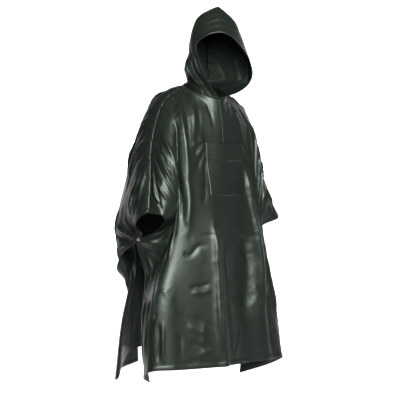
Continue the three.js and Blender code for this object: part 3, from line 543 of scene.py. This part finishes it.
both_sleeves = SLEEVE_CREASES + mirrored(SLEEVE_CREASES)
front_creases = FRONT_CREASES + both_sleeves + small_creases(
    HALF_WIDTH, LENGTH, SMALL_CREASES["count"], SEEDS["small front"])
back_creases = BACK_CREASES + both_sleeves + small_creases(
    HALF_WIDTH, LENGTH, SMALL_CREASES["count"], SEEDS["small back"])
front = with_height(front, front_creases, FRONT_SHARES, 1, SEEDS["front"])
back = with_height(back, back_creases, BACK_SHARES, -1, SEEDS["back"])
for side in (-1, 1):
    in_front = np.flatnonzero(FRONT_SHARES * side >= NECK_SHARE - 1e-9)
    in_back = np.flatnonzero(BACK_SHARES * side >= NECK_SHARE - 1e-9)
    sewn_edge(front, back, in_front, in_back, SEEDS["seams"] + side)


def hood_place(local):
    left, forward, up = np.moveaxis(np.asarray(local, float), -1, 0)
    x, y = HOOD_AXIS
    return np.stack([
        x + left * math.cos(HOOD_TURN) - forward * math.sin(HOOD_TURN),
        y - left * math.sin(HOOD_TURN) - forward * math.cos(HOOD_TURN),
        up,
    ], axis=-1)


HOOD_CLIMBS = steps([(0, 1, HOOD_CELLS_UP)], FINE_CLIMB)


def hood_panel(rows, side):
    """One panel of the hood, from the neck hole's fine edge up to the seam over the crown."""
    in_front = np.flatnonzero((FRONT_SHARES * side > 0) & (np.abs(FRONT_SHARES) <= NECK_SHARE + 1e-9))
    in_back = np.flatnonzero((BACK_SHARES * side >= 0) & (np.abs(BACK_SHARES) < NECK_SHARE - 1e-9))
    ahead = front[0, in_front[::side]]
    behind = back[0, in_back[::-side]]
    neck = np.concatenate([ahead, behind])
    shares = np.linspace(0, 1, len(neck))
    lines = [through([0, 0.5, 1], hood_place(row[1:]), shares) for row in rows]
    return through([0] + [row[0] for row in rows], np.stack([neck] + lines), HOOD_CLIMBS)


def hood_with_height(points, creases, side, seed):
    """A hood panel's points with its creases, its rim's hem and the puckers at its seams."""
    rows, columns = points.shape[:2]
    x, y = np.meshgrid(np.linspace(0, HOOD_DEPTH, columns), np.linspace(0, HOOD_HEIGHT, rows))
    chance = np.random.default_rng(seed)
    creases = creases + small_creases(HOOD_DEPTH, HOOD_HEIGHT, HOOD_SMALL_CREASES, seed)
    height = crease_height(creases, x, y, seed) * smooth(y, 3, 30) * smooth(
        np.minimum(HOOD_DEPTH - x, HOOD_HEIGHT - y), 2, 16)
    for length, tall in HOOD_WAVES:
        wave = np.sin(y * 2 * math.pi / length + chance.uniform(0, 6) + 1.5 * np.sin(y / 47))
        beside = np.exp(-((HOOD_DEPTH - x) / HOOD_PUCKER_REACH) ** 2)
        height += tall * wave * beside * smooth(HOOD_DEPTH - x, 0, 5)
        wave = np.sin(x * 2 * math.pi / length + chance.uniform(0, 6) + 1.5 * np.sin(x / 47))
        beside = np.exp(-((HOOD_HEIGHT - y) / HOOD_PUCKER_REACH) ** 2)
        height += tall * wave * beside * smooth(HOOD_HEIGHT - y, 0, 5)
        height += tall * wave * np.exp(-(y / NECK_PUCKER_REACH) ** 2) * smooth(y, 0, 6)
    height += hem_relief(x, HOOD_HEM_SUNK)
    to_seam = np.minimum(HOOD_DEPTH - x, HOOD_HEIGHT - y)
    height -= HOOD_GROOVE * np.exp(-(to_seam / HOOD_GROOVE_REACH) ** 2)
    return points + grid_normals(points) * (side * height)[..., None]


hoods = {
    "right": hood_with_height(
        hood_panel(HOOD_RIGHT, -1), HOOD_CREASES["right"], 1, SEEDS["hood right"]),
    "left": hood_with_height(
        hood_panel(HOOD_LEFT, 1), HOOD_CREASES["left"], -1, SEEDS["hood left"]),
}


def cloth_mesh(name, points, cut_x, cut_y, side, is_hem=None, is_open=None):
    """A grid of cloth as a mesh whose UV map is its cut in metres.

    side is 1 where the grid's normals face out, else -1. is_hem and is_open are asked for a row
    and a column: the wall is thicker in a hem, and an open cell has no face.
    """
    rows, columns = points.shape[:2]
    mesh_maker = bmesh.new()
    bmesh.ops.create_grid(mesh_maker, x_segments=columns - 1, y_segments=rows - 1, size=1)
    uv = mesh_maker.loops.layers.uv.new("cut")
    place = {}
    for vertex in mesh_maker.verts:
        j = round((vertex.co.x + 1) / 2 * (columns - 1))
        i = round((1 - vertex.co.y) / 2 * (rows - 1))
        place[vertex] = (i, j)
        vertex.co = Vector(points[i, j]) * MM
    cut_away = []
    for face in mesh_maker.faces:
        spots = [place[loop.vert] for loop in face.loops]
        for loop, (i, j) in zip(face.loops, spots):
            loop[uv].uv = (cut_x[j] * MM, -cut_y[i] * MM)
        face.smooth = True
        if is_open and is_open(min(i for i, _ in spots), min(j for _, j in spots)):
            cut_away.append(face)
    bmesh.ops.delete(mesh_maker, geom=cut_away, context="FACES")
    hem_weights = {}
    mesh_maker.verts.index_update()
    if is_hem:
        hem_weights = {v.index: is_hem(*place[v]) for v in mesh_maker.verts}
    if side < 0:
        bmesh.ops.reverse_faces(mesh_maker, faces=mesh_maker.faces)
    mesh = bpy.data.meshes.new(name)
    mesh_maker.to_mesh(mesh)
    mesh_maker.free()
    piece = bpy.data.objects.new(name, mesh)
    bpy.context.collection.objects.link(piece)
    wall = piece.modifiers.new("wall", "SOLIDIFY")
    wall.thickness = (HEM_THICK if is_hem else CLOTH_THICK) * MM
    wall.offset = 0
    wall.use_even_offset = False
    if is_hem:
        group = piece.vertex_groups.new(name="wall")
        plain = CLOTH_THICK / HEM_THICK
        for index, hem in hem_weights.items():
            group.add([index], 1.0 if hem else plain, "REPLACE")
        wall.vertex_group = "wall"
    return piece


def at_spots(grid, i, j):
    """A grid's values at fractional rows i and columns j."""
    rows, columns = grid.shape[:2]
    i = np.clip(np.asarray(i, float), 0, rows - 1.001)
    j = np.clip(np.asarray(j, float), 0, columns - 1.001)
    row, column = i.astype(int), j.astype(int)
    down, across = (i - row)[..., None], (j - column)[..., None]
    upper = grid[row, column] * (1 - across) + grid[row, column + 1] * across
    lower = grid[row + 1, column] * (1 - across) + grid[row + 1, column + 1] * across
    return upper * (1 - down) + lower * down


def along_line(points, normals, spots, lift):
    """Places and normals along a line of (row, column) spots on a grid, lifted off it."""
    spots = np.array(spots, float)
    parts = [np.linspace(a, b, max(2, int(np.abs(b - a).max() * 3)))
             for a, b in zip(spots[:-1], spots[1:])]
    path = np.concatenate(parts)
    out = unit(at_spots(normals, path[:, 0], path[:, 1]))
    return at_spots(points, path[:, 0], path[:, 1]) + out * lift, out


STITCH = {"pitch": 3.9, "length": 2.9, "width": 0.55, "height": 0.42}
HOOD_STITCH = 5  # from the hood's seams to the stitches beside them
PATCH_TOP_STITCH = 0.7  # rows of the grid below a flap's top edge


def stitch_shape():
    """The vertices and faces of one stitch, in millimetres, with its length along x."""
    maker = bmesh.new()
    shape = Matrix.Diagonal((STITCH["length"], STITCH["width"], STITCH["height"], 1))
    bmesh.ops.create_uvsphere(maker, u_segments=6, v_segments=4, radius=0.5,
                              matrix=shape @ Matrix.Rotation(math.pi / 2, 4, "Y"))
    verts = np.array([vertex.co for vertex in maker.verts])
    faces = [[vertex.index for vertex in face.verts] for face in maker.faces]
    maker.free()
    return verts, faces


def stitched(name, lines):
    """Rows of stitches as one mesh, from (places, normals) of each row."""
    one, faces = stitch_shape()
    maker = bmesh.new()
    for places, normals in lines:
        length = np.concatenate([[0], np.cumsum(np.linalg.norm(np.diff(places, axis=0), axis=1))])
        middles = np.arange(STITCH["pitch"] / 2, length[-1], STITCH["pitch"])
        ends = [np.stack([np.interp(middles + step, length, places[:, k]) for k in range(3)], axis=-1)
                for step in (-1, 0, 1)]
        out = np.stack([np.interp(middles, length, normals[:, k]) for k in range(3)], axis=-1)
        along = unit(ends[2] - ends[0])
        out = unit(out - along * (out * along).sum(-1, keepdims=True))
        turns = np.stack([along, np.cross(out, along), out], axis=1)
        for turn, middle in zip(turns, ends[1]):
            verts = [maker.verts.new(spot) for spot in ((one @ turn + middle) * MM).tolist()]
            for face in faces:
                maker.faces.new([verts[k] for k in face]).smooth = True
    return finished_object(name, maker)


def finished_object(name, maker):
    mesh = bpy.data.meshes.new(name)
    maker.to_mesh(mesh)
    maker.free()
    piece = bpy.data.objects.new(name, mesh)
    bpy.context.collection.objects.link(piece)
    return piece


def row_at(y):
    return float(np.interp(y, FINE_LEVELS * LENGTH, np.arange(len(FINE_LEVELS))))


def column_at(x, shares):
    return float(np.interp(x, shares * HALF_WIDTH, np.arange(len(shares))))


def panel_piece(name, points, shares, side, is_open=None):
    x, y = shares * HALF_WIDTH, FINE_LEVELS * LENGTH

    def is_hem(i, j):
        return min(LENGTH - y[i], HALF_WIDTH - abs(x[j])) < HEM_WIDTH

    piece = cloth_mesh(f"{name}_cloth", points, x, y, side, is_hem, is_open)
    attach(piece, "root")
    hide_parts(name)
    return piece


SLIT_ROW = round(row_at(SLIT_END * LENGTH))
SLIT_COLUMN = int(np.flatnonzero(FRONT_SHARES < 0)[-1])
front_piece = panel_piece("front_panel", front, FRONT_SHARES, 1,
                          lambda i, j: j == SLIT_COLUMN and i < SLIT_ROW)
back_piece = panel_piece("back_panel", back, BACK_SHARES, -1)

hood_pieces = {}
for name, points in hoods.items():
    x = np.linspace(0, HOOD_DEPTH, points.shape[1])
    y = np.linspace(0, HOOD_HEIGHT, points.shape[0])
    side = 1 if name == "right" else -1
    piece = cloth_mesh(f"hood_{name}_cloth", points, x, y, side, lambda i, j, x=x: x[j] < HEM_WIDTH)
    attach(piece, "root")
    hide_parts(f"hood_{name}")
    hood_pieces[name] = piece

front_normals = grid_normals(front)
back_normals = -grid_normals(back)


def laid_on_front(name, levels, x_span, lift_at):
    """A piece of cloth that lies on the front, drawn from the front's own points moved out."""
    rows = np.arange(round(row_at(levels[0] * LENGTH)), round(row_at(levels[1] * LENGTH)) + 1)
    columns = np.arange(round(column_at(x_span[0], FRONT_SHARES)),
                        round(column_at(x_span[1], FRONT_SHARES)) + 1)
    down = np.linspace(0, 1, len(rows))[:, None]
    across = np.linspace(0, 1, len(columns))[None, :]
    grid = np.ix_(rows, columns)
    lift = np.broadcast_to(lift_at(down, across), (len(rows), len(columns)))
    points = front[grid] + front_normals[grid] * lift[..., None]
    piece = cloth_mesh(f"{name}_cloth", points, FRONT_SHARES[columns] * HALF_WIDTH,
                       FINE_LEVELS[rows] * LENGTH, 1)
    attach(piece, "root")
    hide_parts(name)
    return piece, points


def puff(down, across):
    return POCKET_PUFF * np.sin(math.pi * across) * np.cos(math.pi / 2 * down) ** 0.7


POCKET_HALF = NECK_SHARE * HALF_WIDTH
pocket_piece, pocket = laid_on_front(
    "chest_pocket", POCKET_LEVELS, (-POCKET_HALF, POCKET_HALF),
    lambda down, across: PATCH_LIFT + puff(down, across))
flap_part = (POCKET_FLAP_LEVELS[1] - POCKET_FLAP_LEVELS[0]) / (POCKET_LEVELS[1] - POCKET_LEVELS[0])
pocket_flap_piece, pocket_flap = laid_on_front(
    "pocket_flap", POCKET_FLAP_LEVELS, (-POCKET_HALF, POCKET_HALF),
    lambda down, across: PATCH_LIFT + FLAP_LIFT + puff(down * flap_part, across))
slit_flap_piece, slit_flap = laid_on_front(
    "slit_flap", (0, SLIT_END), (-SLIT, SLIT_FLAP_WIDTH * HALF_WIDTH),
    lambda down, across: PATCH_LIFT)


def stitch_rows():
    """Every row of stitches: hems, seams, the hood, the pocket and the flaps."""
    lines = []
    lift = HEM_THICK / 2
    inner = HALF_WIDTH - HEM_WIDTH
    low = row_at(LENGTH - HEM_WIDTH)
    for points, normals, shares in ((front, front_normals, FRONT_SHARES),
                                    (back, back_normals, BACK_SHARES)):
        left, right = column_at(-inner, shares), column_at(inner, shares)
        around = [(0, left), (low, left), (low, right), (0, right)]
        lines.append(along_line(points, normals, around, lift))
        seam = row_at(SEAM_STITCH)
        neck = NECK_SHARE * HALF_WIDTH
        for start, end in ((-HALF_WIDTH, -neck), (neck, HALF_WIDTH)):
            spots = [(seam, column_at(start, shares)), (seam, column_at(end, shares))]
            lines.append(along_line(points, normals, spots, CLOTH_THICK / 2))
    for name, points in hoods.items():
        normals = grid_normals(points) * (1 if name == "right" else -1)
        rows, columns = points.shape[0] - 1, points.shape[1] - 1
        rim = HEM_WIDTH / HOOD_DEPTH * columns
        near_seam = HOOD_STITCH / HOOD_DEPTH * columns
        near_crown = HOOD_STITCH / HOOD_HEIGHT * rows
        lines.append(along_line(points, normals, [(0, rim), (rows, rim)], lift))
        lines.append(along_line(points, normals, [
            (0, columns - near_seam), (rows - near_crown, columns - near_seam),
            (rows - near_crown, 0)], CLOTH_THICK / 2))
        lines.append(along_line(points, normals, [
            (near_crown, 0), (near_crown, columns)], CLOTH_THICK / 2))
    for points, top in ((pocket, False), (pocket_flap, True), (slit_flap, True)):
        normals = grid_normals(points)
        rows, columns = points.shape[0] - 1, points.shape[1] - 1
        spots = [(0, 1), (rows - 1, 1), (rows - 1, columns - 1), (0, columns - 1)]
        if top:
            spots += [(PATCH_TOP_STITCH, columns - 1), (PATCH_TOP_STITCH, 1)]
        lines.append(along_line(points, normals, spots, CLOTH_THICK / 2))
    return lines


stitches = stitched("stitches", stitch_rows())
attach(stitches, "root")

# Outlines of a snap's parts, turned about its axis, as (radius, height along it)
SNAP_PARTS = {
    "cap": [(0, 4.1), (6, 4.1), (6, 4.7), (5.4, 5.15), (4.2, 5.5), (2.2, 5.65), (0, 5.7)],
    "socket": [(2.6, -0.3), (6, -0.3), (6, 1.5), (2.6, 1.5), (2.6, -0.3)],
    "stud": [(0, -1.5), (6, -1.5), (6, -0.6), (2.3, -0.6), (2.3, 0.6), (1.8, 1), (0, 1)],
    "base": [(0, -5.3), (5, -5.3), (6, -4.8), (6, -4.1), (0, -4.1)],
}
SNAP_TURNS = 40
SNAP_EDGE = 0.15
SHARP_EDGE = math.radians(35)


def snap_part(part, side):
    """One part of a snap, spun finely round the snap's axis."""
    at, out = SNAPS[side]
    maker = bmesh.new()
    verts = [maker.verts.new((radius, 0, height)) for radius, height in SNAP_PARTS[part]]
    edges = [maker.edges.new(pair) for pair in zip(verts[:-1], verts[1:])]
    bmesh.ops.spin(maker, geom=verts + edges, cent=(0, 0, 0), axis=(0, 0, 1),
                   angle=2 * math.pi, steps=SNAP_TURNS, use_merge=True)
    bmesh.ops.remove_doubles(maker, verts=maker.verts, dist=0.001)
    bmesh.ops.recalc_face_normals(maker, faces=maker.faces)
    turn = Vector((0, 0, 1)).rotation_difference(Vector(out)).to_matrix().to_4x4()
    turn.translation = Vector(at)
    bmesh.ops.transform(maker, matrix=Matrix.Scale(MM, 4) @ turn, verts=maker.verts)
    for face in maker.faces:
        face.smooth = True
    piece = finished_object(f"snap_{part}_{side}_metal", maker)
    edge = piece.modifiers.new("soft edges", "BEVEL")
    edge.width = SNAP_EDGE * MM
    edge.segments = 2
    edge.limit_method = "ANGLE"
    edge.angle_limit = SHARP_EDGE
    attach(piece, "root")
    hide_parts(f"snap_{part}_{side}")
    return piece


snap_pieces = [snap_part(part, side) for side in SNAPS for part in SNAP_PARTS]


CLOTH_DARK = (0.0024, 0.0040, 0.0026, 1)
CLOTH_LIGHT = (0.0038, 0.0058, 0.0040, 1)
CLOTH_SHINE = (0.86, 1.0, 0.87, 1)
CLOTH_ROUGHNESS = (0.43, 0.52)
WEAVE_SCALE = 420
THREAD_TONE = (0.006, 0.009, 0.006, 1)
METAL_TONE = (0.5, 0.51, 0.5, 1)
METAL_ROUGHNESS = (0.22, 0.38)


def new_material(name):
    material = bpy.data.materials.new(name)
    material.use_nodes = True
    nodes = material.node_tree.nodes
    return material, nodes, material.node_tree.links, nodes["Principled BSDF"]


def noise_of(nodes, links, vector, scale, detail=3.0, distortion=0.0):
    node = nodes.new("ShaderNodeTexNoise")
    node.inputs["Scale"].default_value = scale
    node.inputs["Detail"].default_value = detail
    node.inputs["Distortion"].default_value = distortion
    links.new(vector, node.inputs["Vector"])
    return node.outputs["Fac"]


def bump_of(nodes, links, height, strength, distance, before=None):
    node = nodes.new("ShaderNodeBump")
    node.inputs["Strength"].default_value = strength
    node.inputs["Distance"].default_value = distance
    links.new(height, node.inputs["Height"])
    if before:
        links.new(before, node.inputs["Normal"])
    return node.outputs["Normal"]


def ramp_of(nodes, links, value, low, high):
    node = nodes.new("ShaderNodeMapRange")
    node.inputs["To Min"].default_value = low
    node.inputs["To Max"].default_value = high
    links.new(value, node.inputs["Value"])
    return node.outputs["Result"]


def cloth_material():
    """Dark green coated nylon: a close weave, a soft gloss and small crinkles from packing."""
    material, nodes, links, shader = new_material("coated nylon")
    cut = nodes.new("ShaderNodeUVMap")
    cut.uv_map = "cut"
    cut = cut.outputs["UV"]
    tone = nodes.new("ShaderNodeMixRGB")
    tone.inputs["Color1"].default_value = CLOTH_DARK
    tone.inputs["Color2"].default_value = CLOTH_LIGHT
    links.new(noise_of(nodes, links, cut, 7.0, 4.0), tone.inputs["Fac"])
    links.new(tone.outputs["Color"], shader.inputs["Base Color"])
    links.new(ramp_of(nodes, links, noise_of(nodes, links, cut, 23.0), *CLOTH_ROUGHNESS),
              shader.inputs["Roughness"])
    shader.inputs["Specular IOR Level"].default_value = 0.45
    shader.inputs["Specular Tint"].default_value = CLOTH_SHINE
    both = nodes.new("ShaderNodeMath")
    both.operation = "MULTIPLY"
    for k, direction in enumerate("XY"):
        threads = nodes.new("ShaderNodeTexWave")
        threads.bands_direction = direction
        threads.inputs["Scale"].default_value = WEAVE_SCALE
        links.new(cut, threads.inputs["Vector"])
        links.new(threads.outputs["Fac"], both.inputs[k])
    normal = bump_of(nodes, links, noise_of(nodes, links, cut, 16.0, 2.0, 0.6), 0.25, 0.004)
    normal = bump_of(nodes, links, noise_of(nodes, links, cut, 55.0, 2.0, 0.8), 0.2, 0.001, normal)
    normal = bump_of(nodes, links, both.outputs["Value"], 0.25, 0.0001, normal)
    links.new(normal, shader.inputs["Normal"])
    return material


def thread_material():
    material, nodes, links, shader = new_material("thread")
    shader.inputs["Base Color"].default_value = THREAD_TONE
    place = nodes.new("ShaderNodeTexCoord").outputs["Object"]
    grain = noise_of(nodes, links, place, 2500.0)
    links.new(bump_of(nodes, links, grain, 0.3, 0.0002), shader.inputs["Normal"])
    shader.inputs["Roughness"].default_value = 0.8
    shader.inputs["Specular IOR Level"].default_value = 0.15
    return material


def snap_material():
    material, nodes, links, shader = new_material("snap metal")
    shader.inputs["Base Color"].default_value = METAL_TONE
    shader.inputs["Metallic"].default_value = 1.0
    place = nodes.new("ShaderNodeTexCoord").outputs["Object"]
    links.new(ramp_of(nodes, links, noise_of(nodes, links, place, 900.0), *METAL_ROUGHNESS),
              shader.inputs["Roughness"])
    return material


cloth = cloth_material()
for piece in (front_piece, back_piece, *hood_pieces.values(), pocket_piece, pocket_flap_piece,
              slit_flap_piece):
    piece.data.materials.append(cloth)
stitches.data.materials.append(thread_material())
metal = snap_material()
for piece in snap_pieces:
    piece.data.materials.append(metal)

# The studio, in metres. The eye is level and looks from 40 degrees to the wearer's right.
FLOOR_Z = -1.8
FLOOR_HALF_WIDTH = 12
FLOOR_START = -0.6
FLOOR_RUN = 4.6
SWEEP_FROM = 0.6  # share of the floor's grid where it begins to rise
SWEEP_BACK = 2.5
SWEEP_UP = 7
EYE_DISTANCE = 4.5
EYE_LENS = 109.35
EYE_SENSOR = 36
SURROUND = 0.08
LOOK_FROM = Vector((-0.643, -0.766, 0))
TO_THE_SIDE = Vector((0.766, -0.643, 0))
LOOK_AT = TO_THE_SIDE * 0.0074 + Vector((0, 0, -0.407))
KEY_PLACE = LOOK_AT + LOOK_FROM * 3.0 + TO_THE_SIDE * 0.7 + Vector((0, 0, 1.3))
BEHIND_PLACE = LOOK_FROM * -2.2 + Vector((0, 0, 0.9))
BEHIND_AIM = LOOK_FROM * -7 + Vector((0, 0, -0.6))
BEHIND_APART = 2.9


def pale_material():
    material, nodes, links, shader = new_material("pale floor")
    shader.inputs["Base Color"].default_value = (0.86, 0.86, 0.86, 1)
    shader.inputs["Roughness"].default_value = 0.9
    return material


def soft_light(name, power, size, place, target):
    light = bpy.data.objects.new(name, bpy.data.lights.new(name, "AREA"))
    light.data.energy = power
    light.data.size = size
    light.location = place
    light.rotation_euler = (target - place).to_track_quat("-Z", "Y").to_euler()
    bpy.context.collection.objects.link(light)
    return light


def studio():
    """A pale floor that sweeps up behind, a white surround, a key light and two behind."""
    maker = bmesh.new()
    bmesh.ops.create_grid(maker, x_segments=1, y_segments=24, size=1)
    for vertex in maker.verts:
        t = (vertex.co.y + 1) / 2
        run = min(t / SWEEP_FROM, 1) * FLOOR_RUN + FLOOR_START
        rise = max(0, (t - SWEEP_FROM) / (1 - SWEEP_FROM))
        vertex.co = (vertex.co.x * FLOOR_HALF_WIDTH, run + rise * SWEEP_BACK,
                     FLOOR_Z + rise ** 2 * SWEEP_UP)
    floor = finished_object("floor", maker)
    floor.rotation_euler[2] = math.atan2(LOOK_FROM.x, -LOOK_FROM.y)
    for polygon in floor.data.polygons:
        polygon.use_smooth = True
    floor.data.materials.append(pale_material())
    world = bpy.data.worlds.new("white surround")
    world.use_nodes = True
    world.node_tree.nodes["Background"].inputs["Color"].default_value = (1, 1, 1, 1)
    world.node_tree.nodes["Background"].inputs["Strength"].default_value = SURROUND
    bpy.context.scene.world = world
    lights = [soft_light("key", 380, 1.7, KEY_PLACE, LOOK_AT)]
    for side in (-1, 1):
        place = BEHIND_PLACE + TO_THE_SIDE * BEHIND_APART * side
        lights.append(soft_light(f"behind {side}", 260, 2.4, place, BEHIND_AIM))
    eye = bpy.data.objects.new("eye", bpy.data.cameras.new("eye"))
    eye.data.sensor_width = EYE_SENSOR
    eye.data.lens = EYE_LENS
    eye.location = LOOK_AT + LOOK_FROM * EYE_DISTANCE
    eye.rotation_euler = (LOOK_AT - eye.location).to_track_quat("-Z", "Y").to_euler()
    bpy.context.collection.objects.link(eye)
    bpy.context.scene.camera = eye
    bpy.context.scene.view_settings.view_transform = "Standard"


studio()
